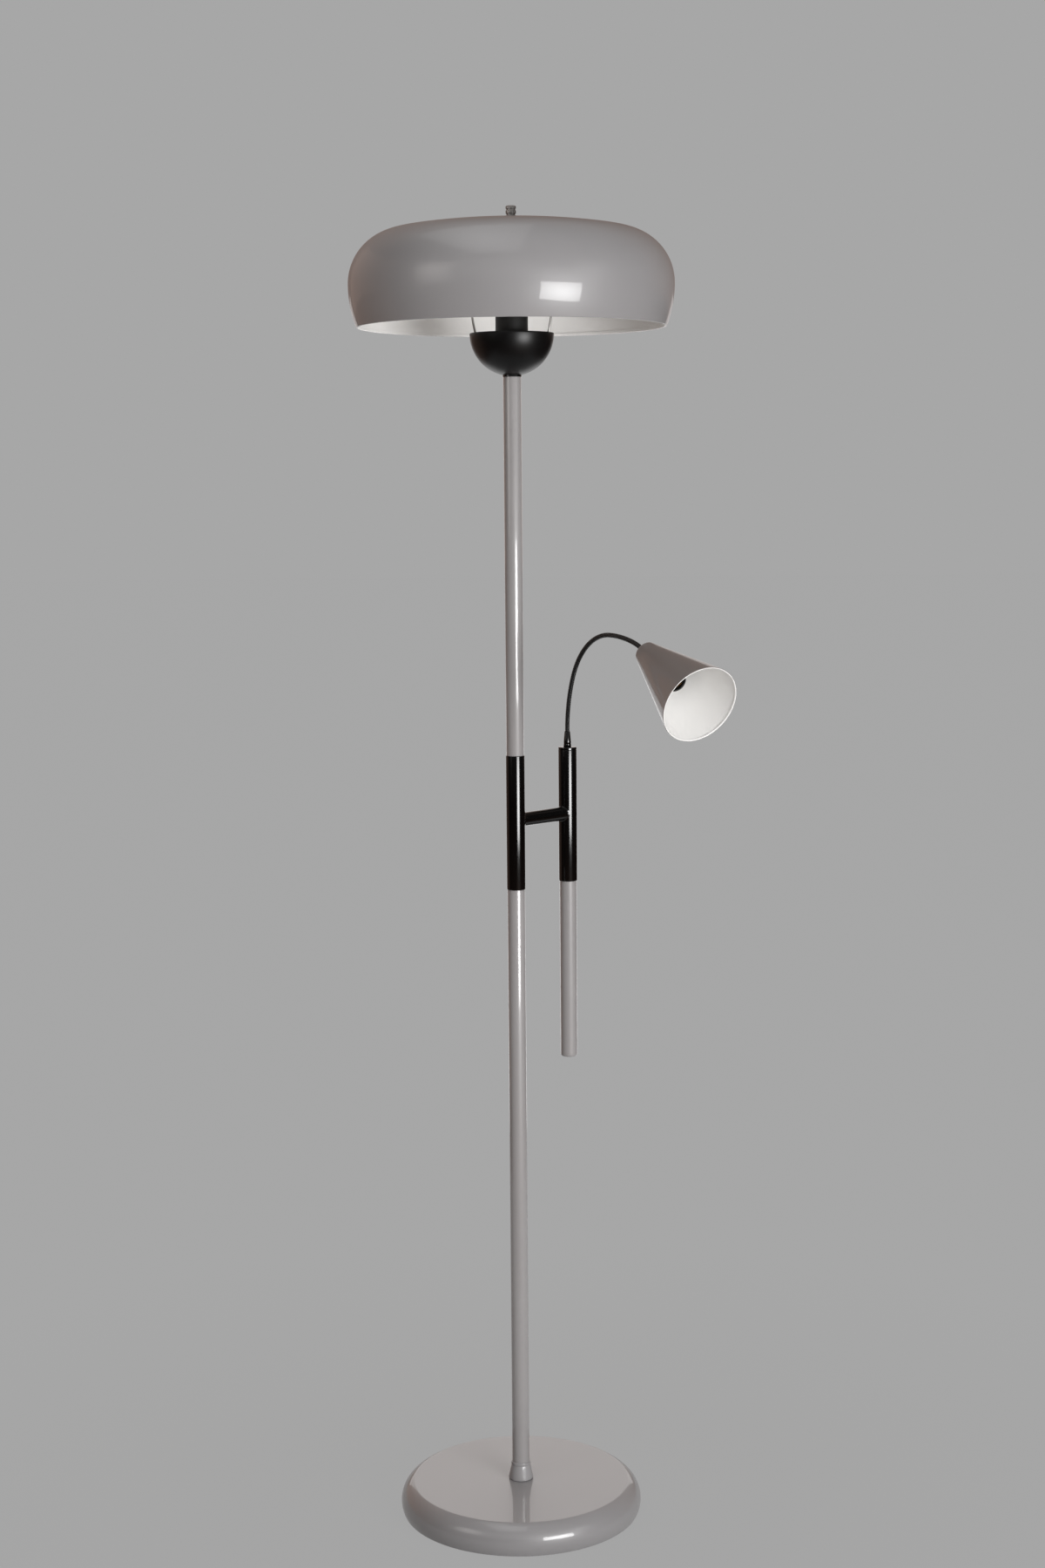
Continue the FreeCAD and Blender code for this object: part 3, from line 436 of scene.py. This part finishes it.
# ---- gooseneck ---------------------------------------------------------------------------------
def neck_point(length):
    """Point and direction on the hose's line at a length from its lower end."""
    out, up, heading = 0.0, HOSE_START, 90.0
    if length <= HOSE_RISE:
        return ARM_FOOT + Vector((0, 0, up + length)), Vector((0, 0, 1))
    up += HOSE_RISE
    left = length - HOSE_RISE
    for radius, turn in HOSE_BENDS:
        done = min(left, radius * math.radians(turn))
        bend = math.degrees(done / radius)
        a, b = math.radians(heading), math.radians(heading - bend)
        out += radius * (math.sin(a) - math.sin(b))
        up += radius * (math.cos(b) - math.cos(a))
        heading -= bend
        left -= done
    a = math.radians(heading)
    point = (ARM_FOOT + NECK_OUT * (out + left * math.cos(a))
             + Vector((0, 0, up + left * math.sin(a))))
    return point, NECK_OUT * math.cos(a) + Vector((0, 0, math.sin(a)))


def hose_run(name, start, stop):
    """Stretch of wound hose: fine ribs that climb round it like a screw."""
    pitch, depth = 2.05 * MM, 0.42 * MM
    steps = 28
    rows = int((stop - start) / (pitch / 7))
    verts = []
    for i in range(rows + 1):
        s = start + (stop - start) * i / rows
        basis = frame_of(*neck_point(s), NECK_SIDE)
        for a in circle(steps):
            wave = 0.5 + 0.5 * math.cos(2 * math.pi * s / pitch - a)
            r = HOSE_R - depth * (1 - wave) ** 1.6
            verts.append(basis @ Vector((r * math.cos(a), r * math.sin(a), 0)))
    faces = stack_faces(rows + 1, steps)
    faces += [tuple(range(steps)), tuple(rows * steps + k for k in range(steps))]
    return mesh_piece(name, verts, faces, HOSE_BLACK, None)


def gooseneck():
    """Hose in runs, each from the middle of one link to the middle of the next."""
    middles = [(LINK_ENDS[i] + LINK_ENDS[i + 1]) / 2 for i in range(5)]
    reach = 0.42 * LINK        # points on the hose's line this far to either side of a joint are found but not used
    first = hose_run("hose_root", 0.2 * MM, middles[0])
    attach(first, "neck_root")
    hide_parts("neck_link_1")
    for i in range(4):
        run = hose_run("hose_bend_%d" % (i + 1), middles[i], middles[i + 1])
        joint = LINK_ENDS[i + 1]
        neck_point(joint - reach)[0]
        neck_point(joint + reach)[0]
        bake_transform(run)
        if i > 0:
            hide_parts("neck_link_%d" % (i + 1))
    last = hose_run("hose_tip", middles[4], HOSE_LEN)
    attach(last, "head")
    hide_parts("neck_link_5")


def neck_foot():
    """Ferrule on the arm's cap: spigot, grooved collar and a taper up to the hose."""
    clear = 0.03               # gap to the cap, on which it turns
    profile = [(1.5, -15), (3.95, -15), (3.95, clear), (4.3, clear), (4.5, 0.3), (4.45, 3),
               (4.2, 3.3), (4.2, 4.0), (4.4, 4.3), (4.3, 6), (3.25, 17.6), (3.1, 18),
               (2.75, 18), (2.75, 3), (1.5, 3)]
    turned("neck_foot", from_mm(profile, CAP_TOP), TUBE_BLACK, "neck_root", ["neck_ferrule"],
           place=Matrix.Translation(ARM_FOOT))


# ---- reading shade -----------------------------------------------------------------------------
HEAD = frame_of(*neck_point(HOSE_LEN + 2 * MM), NECK_SIDE)    # cone's back, looking along it


def cone_r(x):
    """Outer radius of the cone at a distance from its back."""
    return (CONE_BACK_D + (CONE_MOUTH_D - CONE_BACK_D) * x / CONE_LEN) / 2


def hem_points(edge, along, inward, wall, height):
    """Sheet folded back on itself at an edge: round the fold, up its inner face, to the skin."""
    def at(down, deep):
        return (edge[0] + along[0] * down + inward[0] * deep,
                edge[1] + along[1] * down + inward[1] * deep)
    points = []
    for i in range(13):
        a = math.pi * i / 12
        points.append(at(wall * (math.sin(a) - 1), wall * (1 - math.cos(a))))
    return points + [at(-height, 2 * wall), at(-height - 0.3 * MM, wall)]


def reading_cone():
    """Spun cone, grey outside and white inside, its mouth hemmed, and the boot behind it."""
    bore, corner, wall, rows = 4 * MM, 4 * MM, 0.7 * MM, 6
    slope = math.atan2((CONE_MOUTH_D - CONE_BACK_D) / 2, CONE_LEN)
    skin = wall / math.cos(slope)
    flat = cone_r(corner) - corner
    outer = [(bore, 0), (flat, 0)] + arc_points((flat, corner), corner, -90, 0, 8)[1:]
    for i in range(1, rows + 1):
        x = corner + (CONE_LEN - 1.5 * MM - corner) * i / rows
        outer.append((cone_r(x), x))
    hem = hem_points((cone_r(CONE_LEN), CONE_LEN), (math.sin(slope), math.cos(slope)),
                     (-math.cos(slope), math.sin(slope)), wall, 1.6 * MM)
    inner = []
    for i in range(rows, -1, -1):
        x = corner + (CONE_LEN - 4.5 * MM - corner) * i / rows
        inner.append((cone_r(x) - skin, x))
    inner += [(flat + 0.4 * MM, 1.35 * MM), (flat - 0.5 * MM, 1.0 * MM), (bore, 1.0 * MM)]
    profile = outer + hem + inner
    turned("reading_cone", profile, [SHADED_GREY_CONE, WHITE], "head", ["cone_shade"],
           steps=160, place=HEAD, inner=(len(outer) + 5, len(profile) - 1))
    boot = [(2.75, -8), (2.9, -8), (3.1, -7.7), (3.6, -4.5), (4.55, -1.5), (4.8, -1.1),
            (4.8, -0.2), (4.6, 0), (3.95, 0), (3.95, 4), (1.5, 4), (1.5, -2), (2.75, -2)]
    turned("neck_tip_boot", from_mm(boot), TUBE_BLACK, "head", ["cone_boot"],
           place=HEAD)


def ribs(radius, low, count, pitch, depth, slant, width):
    """Shallow grooves one above the other in a moulding's side."""
    points = []
    for i in range(count):
        z = low + pitch * i
        points += [(radius, z), (radius - depth, z + slant),
                   (radius - depth, z + width - slant), (radius, z + width)]
    return points


def threaded_liner(name, node, body, bore, low, high, pitch, place):
    """Rolled lamp thread: sheet whose two faces follow the same helix."""
    outer, depth = bore + 0.4 * MM, 0.35 * MM
    steps = 72
    rows = int((high - low) / (pitch / 10))
    verts, faces = [], []
    for side in (0, 1):
        faces += stack_faces(rows + 1, steps, start=side * (rows + 1) * steps)
        for i in range(rows + 1):
            z = low + (high - low) * i / rows
            for a in circle(steps):
                wave = 0.5 + 0.5 * math.cos(2 * math.pi * (z - low) / pitch - a)
                r = bore + depth * wave + (outer - bore - depth) * side
                verts.append(place @ Vector((r * math.cos(a), r * math.sin(a), z)))
    for end in (0, rows * steps):
        faces += band_faces(end, (rows + 1) * steps + end, steps)
    mesh_piece(name, verts, faces, BRASS, body, [node])


def reading_socket():
    """Small lampholder in the cone: tapered back, ribbed barrel with a floor, and its thread."""
    low, top = 4, 69
    r, bore, wire_bore = 11.3, 9.1, 1.5
    floor = top - 23.2
    profile = [(wire_bore, low), (5.8, low), (r, low + 9), (r, low + 12)]
    profile += ribs(r, low + 14, 6, 2.2, 0.35, 0.3, 1.2)
    profile += [(r, top - 0.8), (r - 0.3, top - 0.2), (r - 0.8, top), (bore, top),
                (bore, floor), (wire_bore, floor)]
    turned("reading_socket", from_mm(profile), SOCKET_BLACK, "head", ["reading_holder"],
           place=HEAD)
    threaded_liner("reading_screw", "reading_thread", "head", 6.95 * MM, (top - 19.5) * MM,
                   (top - 1.5) * MM, 2.82 * MM, HEAD)


# ---- cup, main lampholder and finial -----------------------------------------------------------
def cup_bowl():
    """Half-round cup with a rounded edge and a flat foot on the pole."""
    wall = 1.2 * MM
    lip = 0.6                  # degrees below the edge at which its rounding starts
    r_in, floor_in = CUP_R - wall, CUP_FLOOR + wall
    low_out = -math.degrees(math.acos(CUP_FOOT_R / CUP_R))
    low_in = -math.degrees(math.asin((CUP_C - floor_in) / r_in))
    middle = (CUP_R + r_in) / 2
    profile = [(NIPPLE_HOLE_R, CUP_FLOOR), (CUP_FOOT_R, CUP_FLOOR)]
    profile += arc_points((0, CUP_C), CUP_R, low_out, -lip, 44)[1:]
    profile += [(middle + 0.25 * MM, CUP_C), (middle - 0.25 * MM, CUP_C)]
    profile += arc_points((0, CUP_C), r_in, -lip, low_in, 36)
    profile += [(NIPPLE_HOLE_R, floor_in)]
    turned("cup_bowl", profile, SATIN, "stand", ["cup"], steps=144)


def main_socket():
    """Main lampholder: cap, ribbed barrel with a shoulder, and its thread."""
    low = 1317.5 * MM
    cap_top, top = 16, 57
    r, bore, cap_hole = 18.0, 15, 5
    cap = [(cap_hole, 0), (9.5, 0), (10, 0.5), (r - 2.2, 8.3), (r - 1.5, 9.3),
           (r - 0.7, cap_top - 0.3), (r - 1.0, cap_top), (cap_hole, cap_top)]
    turned("main_socket_cap", from_mm(cap, low), SOCKET_BLACK, "stand", ["lampholder_cap"])
    barrel = [(bore, cap_top), (r - 1.2, cap_top), (r - 1.2, cap_top + 0.8),
              (r - 0.3, cap_top + 0.8), (r, cap_top + 1.1)]
    barrel += ribs(r, cap_top + 4, 5, 2.6, 0.4, 0.4, 1.4)
    barrel += [(r, top - 1), (r - 0.3, top - 0.3), (r - 1, top), (bore, top)]
    turned("main_socket_body", from_mm(barrel, low), SOCKET_BLACK, "stand",
           ["lampholder_barrel"])
    threaded_liner("main_screw", "lampholder_thread", "stand", 13.2 * MM,
                   low + (top - 25.5) * MM, low + (top - 1.5) * MM, 3.62 * MM,
                   Matrix.Identity(4))


def finial():
    """Turned nut: flared foot, short neck and a knob of two finely fluted rings."""
    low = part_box("finial_nut")[0].z
    foot, neck, knob, stud = 6.5, 4.8, 5.7, 3
    profile = [(stud, 0), (foot - 0.3, 0), (foot, 0.3), (foot, 2.0), (foot - 0.4, 2.5),
               (neck + 0.5, 3.6), (neck, 4.5), (neck, 6.2), (knob - 0.4, 6.5)]
    first = len(profile)
    profile += [(knob, 6.9), (knob, 8.4), (knob, 9.8), (knob - 0.7, 10.5), (knob - 0.7, 11.5),
                (knob, 12.2), (knob, 13.4), (knob, 14.5)]
    last = len(profile)
    profile += [(knob - 0.9, 15.2), (knob - 2.2, 15.48), (0, 15.5), (0, 9.3), (stud, 9.3)]

    def flutes(i, a, r, z):
        if first <= i < last and r > (knob - 0.1) * MM:
            return r - 0.16 * MM * (0.5 - 0.5 * math.cos(24 * a)), z
        return r, z
    turned("finial_knob", from_mm(profile, low), NICKEL, "stand", ["finial_nut"],
           steps=192, shape=flutes)


# ---- main shade --------------------------------------------------------------------------------
def shade_curve(inset, lift):
    """Outline of the dome from the crown's hole to the rim, moved inwards by the inset.

    Crown, shoulder and skirt are three arcs, and the lift ends it above the rim. Also gives the
    angle below level at which the outline ends."""
    shoulder_end = 80.7        # degrees above level at which shoulder and crown meet
    turn = math.radians(shoulder_end)
    wide = CUP_C + 53.0 * MM   # widest level
    shoulder_c, shoulder_r = 120.0 * MM, 60.0 * MM - inset
    skirt_c, skirt_r = 54.0 * MM, 126.0 * MM - inset
    stud_hole_r = 3.3 * MM
    crown_r = shoulder_c / math.cos(turn) + shoulder_r
    crown_z = wide + (shoulder_r - crown_r) * math.sin(turn)
    start = math.degrees(math.acos(stud_hole_r / crown_r))
    rim = math.asin((47.0 * MM - lift) / skirt_r)
    points = arc_points((0, crown_z), crown_r, start, shoulder_end, 26)
    points += arc_points((shoulder_c, wide), shoulder_r, shoulder_end, 0, 34)[1:]
    points += arc_points((skirt_c, wide), skirt_r, 0, -math.degrees(rim), 20)[1:]
    return points, rim


def dome():
    """Spun dome, grey outside and white inside, its rim folded in to a hem."""
    wall = 1.2 * MM
    outer, _ = shade_curve(0.0, 1.4 * MM)
    inner, _ = shade_curve(wall, 3.6 * MM)
    whole, rim = shade_curve(0.0, 0.0)
    hem = hem_points(whole[-1], (-math.sin(rim), -math.cos(rim)),
                     (-math.cos(rim), math.sin(rim)), wall, 3.0 * MM)
    profile = outer + hem + inner[::-1]
    turned("main_dome", profile, [GREY, WHITE], "stand", ["main_shade"],
           steps=288, inner=(len(outer) + 6, len(profile) - 1))


# ---- pieces ------------------------------------------------------------------------------------
base_disc()
foot_cone()
felt_disc()
pole_piece("pole_low", "lower_pole", BASE_TOP, SLEEVE_Z)
pole_piece("pole_high", "upper_pole", SLEEVE_TOP, POLE_TOP)
sleeve_piece("bracket_pole_sleeve", "pole_sleeve", Vector((0, 0, 0)))
sleeve_piece("bracket_arm_sleeve", "arm_sleeve", ARM_FOOT)
bracket_bar()
arm_pieces()
gooseneck()
neck_foot()
reading_cone()
reading_socket()
cup_bowl()
main_socket()
finial()
dome()

# solids that stay, most of them hidden; what isn't named here takes the grey paint
NODE_LOOKS = (
    (GREY_TUBE, ["arm_tube"]),
    (TUBE_BLACK, ["neck_ring"]),
    (CAST, ["base_weight"]),
    (ZINC, ["base_plate", "base_plate_screws", "foot_nut", "foot_washer", "foot_nipple",
            "pole_core", "top_nipple", "cup_nut", "harp_stud", "shade_washer", "cone_nut"]),
    (BRASS, ["foot_insert", "top_insert", "lampholder_contact", "reading_contact"]),
    (WIRE, ["harp_saddle", "harp_wire_right", "harp_wire_left"]),
    (SOCKET_BLACK, ["lampholder_block"]),
    (RUBBER, ["cord_grommet", "main_cable", "brake_cushion"]),
    (NYLON, ["lower_bush", "upper_bush", "brake_shoe"]),
)
look_of = {name: look for look, names in NODE_LOOKS for name in names}
for name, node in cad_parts.items():
    node.data.materials.clear()
    node.data.materials.append(look_of.get(name, GREY))


# ---- floor, backdrop, light and camera, in metres ----------------------------------------------
BACK = linear((167, 167, 167))             # backdrop and paper
WOOD = linear((96, 76, 66))                # floor round the paper
BOUNCE = (0.44, 0.43, 0.425, 1.0)          # floor, as diffuse rays see it
PAPER_HALF_W = 1.35
PAPER_FRONT = -0.6
FLOOR_HALF_W = 30.0
SHADOW_REACH = (0.3, 1.0)                  # distances over which the lamp's shadow fades out
FLAT_SHARE = (0.92, 0.995)                 # flat colour's share near the lamp and far off
NEUTRAL = (1.0, 0.98, 0.965, 1.0)
WARM = (1.0, 0.66, 0.52, 1.0)
ROOM_DARK, ROOM_BACK, CEILING = 0.03, 0.2, 0.25
BACK_RAMP = (0.2, 0.6)                     # how far behind a direction points
CEILING_RAMP = (0.6, 0.85)                 # how far up
GLOW_RAMP = (0.1, 0.6)                     # from a softbox's middle towards its corners


def map_range(tree, source, source_range, target_range, kind="LINEAR"):
    """Output that takes the source's range to the target's."""
    one = tree.nodes.new("ShaderNodeMapRange")
    one.interpolation_type = kind
    for key, value in zip(("From Min", "From Max", "To Min", "To Max"),
                          (*source_range, *target_range)):
        one.inputs[key].default_value = value
    tree.links.new(source, one.inputs["Value"])
    return one.outputs["Result"]


def studio_floor():
    """Grey paper under and behind the lamp and a dark floor round it, flat to the camera.

    Diffuse rays see one paler floor, which lights the lamp from below."""
    mat = bpy.data.materials.new("studio_floor")
    mat.use_nodes = True
    tree = mat.node_tree
    shader = tree.nodes["Principled BSDF"]
    shader.inputs["Roughness"].default_value = 0.9
    shader.inputs["Specular IOR Level"].default_value = 0.0

    def maths(kind, *values):
        one = tree.nodes.new("ShaderNodeMath")
        one.operation = kind
        for place, value in zip(one.inputs, values):
            if isinstance(value, float):
                place.default_value = value
            else:
                tree.links.new(value, place)
        return one.outputs[0]
    place = tree.nodes.new("ShaderNodeTexCoord")
    axes = tree.nodes.new("ShaderNodeSeparateXYZ")
    tree.links.new(place.outputs["Object"], axes.inputs["Vector"])
    x, y = axes.outputs["X"], axes.outputs["Y"]
    paper = maths("MULTIPLY", maths("LESS_THAN", maths("ABSOLUTE", x), PAPER_HALF_W),
                  maths("GREATER_THAN", y, PAPER_FRONT))
    colour = tree.nodes.new("ShaderNodeMix")
    colour.data_type = "RGBA"
    tree.links.new(paper, colour.inputs["Factor"])
    colour.inputs["A"].default_value = WOOD
    colour.inputs["B"].default_value = BACK
    ray = tree.nodes.new("ShaderNodeLightPath")
    bounce = tree.nodes.new("ShaderNodeMix")
    bounce.data_type = "RGBA"
    tree.links.new(ray.outputs["Is Diffuse Ray"], bounce.inputs["Factor"])
    tree.links.new(colour.outputs["Result"], bounce.inputs["A"])
    bounce.inputs["B"].default_value = BOUNCE
    tree.links.new(bounce.outputs["Result"], shader.inputs["Base Color"])
    glow = tree.nodes.new("ShaderNodeEmission")
    glow.inputs["Color"].default_value = BACK
    flat = maths("MAXIMUM", ray.outputs["Is Camera Ray"],
                 maths("MULTIPLY", ray.outputs["Is Glossy Ray"], paper))
    away = maths("SQRT", maths("ADD", maths("MULTIPLY", x, x), maths("MULTIPLY", y, y)))
    share = map_range(tree, away, SHADOW_REACH, FLAT_SHARE)
    mix = tree.nodes.new("ShaderNodeMixShader")
    tree.links.new(maths("MULTIPLY", flat, share), mix.inputs["Fac"])
    tree.links.new(shader.outputs[0], mix.inputs[1])
    tree.links.new(glow.outputs[0], mix.inputs[2])
    tree.links.new(mix.outputs[0], tree.nodes["Material Output"].inputs["Surface"])
    half = FLOOR_HALF_W
    corners = [(-half, -half, 0), (half, -half, 0), (half, half, 0), (-half, half, 0)]
    mesh_piece("studio_floor", corners, [(0, 1, 2, 3)], mat, None, smooth=False)


def studio_world():
    """Dark studio with a brown room behind, a pale ceiling, and the camera's flat backdrop."""
    world = bpy.data.worlds.new("studio")
    bpy.context.scene.world = world
    world.use_nodes = True
    tree = world.node_tree
    tree.nodes.clear()

    def background(colour, strength=None):
        one = tree.nodes.new("ShaderNodeBackground")
        one.inputs["Color"].default_value = colour
        if strength:
            tree.links.new(strength, one.inputs["Strength"])
        return one.outputs[0]
    place = tree.nodes.new("ShaderNodeTexCoord")
    axes = tree.nodes.new("ShaderNodeSeparateXYZ")
    tree.links.new(place.outputs["Generated"], axes.inputs["Vector"])
    behind = map_range(tree, axes.outputs["Y"], BACK_RAMP, (0.0, ROOM_BACK), "SMOOTHSTEP")
    above = map_range(tree, axes.outputs["Z"], CEILING_RAMP, (ROOM_DARK, CEILING), "SMOOTHSTEP")
    room = tree.nodes.new("ShaderNodeAddShader")
    tree.links.new(background(NEUTRAL, above), room.inputs[0])
    tree.links.new(background(WARM, behind), room.inputs[1])
    ray = tree.nodes.new("ShaderNodeLightPath")
    mix = tree.nodes.new("ShaderNodeMixShader")
    out = tree.nodes.new("ShaderNodeOutputWorld")
    tree.links.new(ray.outputs["Is Camera Ray"], mix.inputs["Fac"])
    tree.links.new(room.outputs[0], mix.inputs[1])
    tree.links.new(background(BACK), mix.inputs[2])
    tree.links.new(mix.outputs[0], out.inputs["Surface"])


def softbox(name, at, target, width, height, power, colour=(1, 1, 1), edge=1.0):
    """Area light; edge is the level towards its corners against the level at its middle."""
    data = bpy.data.lights.new(name, "AREA")
    data.shape = "RECTANGLE"
    data.size = width
    data.size_y = height
    data.energy = power
    data.color = colour
    if edge < 1.0:
        data.use_nodes = True
        tree = data.node_tree
        place = tree.nodes.new("ShaderNodeNewGeometry")
        span = tree.nodes.new("ShaderNodeVectorMath")
        span.operation = "DISTANCE"
        span.inputs[1].default_value = (0.5, 0.5, 0.0)
        tree.links.new(place.outputs["Parametric"], span.inputs[0])
        level = map_range(tree, span.outputs["Value"], GLOW_RAMP, (1.0, edge))
        tree.links.new(level, tree.nodes["Emission"].inputs["Strength"])
    lamp = bpy.data.objects.new(name, data)
    bpy.context.scene.collection.objects.link(lamp)
    lamp.visible_camera = False
    lamp.location = at
    lamp.rotation_euler = (Vector(target) - Vector(at)).to_track_quat("-Z", "Y").to_euler()


studio_floor()
studio_world()
softbox("key_softbox", (1.52, -2.23, 0.74), (0, 0, 0.95), 1.4, 0.8, 78, edge=0.6)
softbox("overhead_softbox", (-0.45, -0.7, 3.0), (-0.45, -0.7, 0.0), 1.3, 2.6, 17, edge=0.4)
softbox("front_fill", (-0.4, -3.3, 2.2), (0, 0, 1.3), 5.0, 1.8, 9)
softbox("left_fill", (-2.5, -1.8, 1.9), (0, 0, 1.4), 1.6, 1.5, 21, (1.0, 0.95, 0.92), edge=0.2)
softbox("right_fill", (2.6, -1.7, 1.9), (0, 0, 1.4), 1.6, 1.5, 9, edge=0.2)
softbox("warm_wall", (-1.9, 1.1, 1.2), (0, 0, 1.2), 2.6, 2.6, 4.7, WARM[:3])
softbox("low_backdrop", (0, 1.1, 0.5), (0, 0, 0.5), 1.4, 0.7, 3.2)
softbox("high_backdrop", (0, 1.1, 1.15), (0, 0, 1.15), 1.2, 0.6, 1.6)

CAM_AT = (0.008, -2.708, 1.185)
CAM_TILT = math.radians(83.02)             # up from straight down
CAM_ROLL = math.radians(-0.45)
cam_data = bpy.data.cameras.new("camera")
cam = bpy.data.objects.new("camera", cam_data)
bpy.context.scene.collection.objects.link(cam)
cam_data.sensor_fit = "VERTICAL"
cam_data.sensor_height = 36.0
cam_data.sensor_width = 24.0
cam_data.lens = 55.4
cam.matrix_world = (Matrix.Translation(CAM_AT) @ Matrix.Rotation(CAM_TILT, 4, "X")
                    @ Matrix.Rotation(CAM_ROLL, 4, "Z"))
bpy.context.scene.camera = cam
bpy.context.scene.view_settings.view_transform = "Standard"
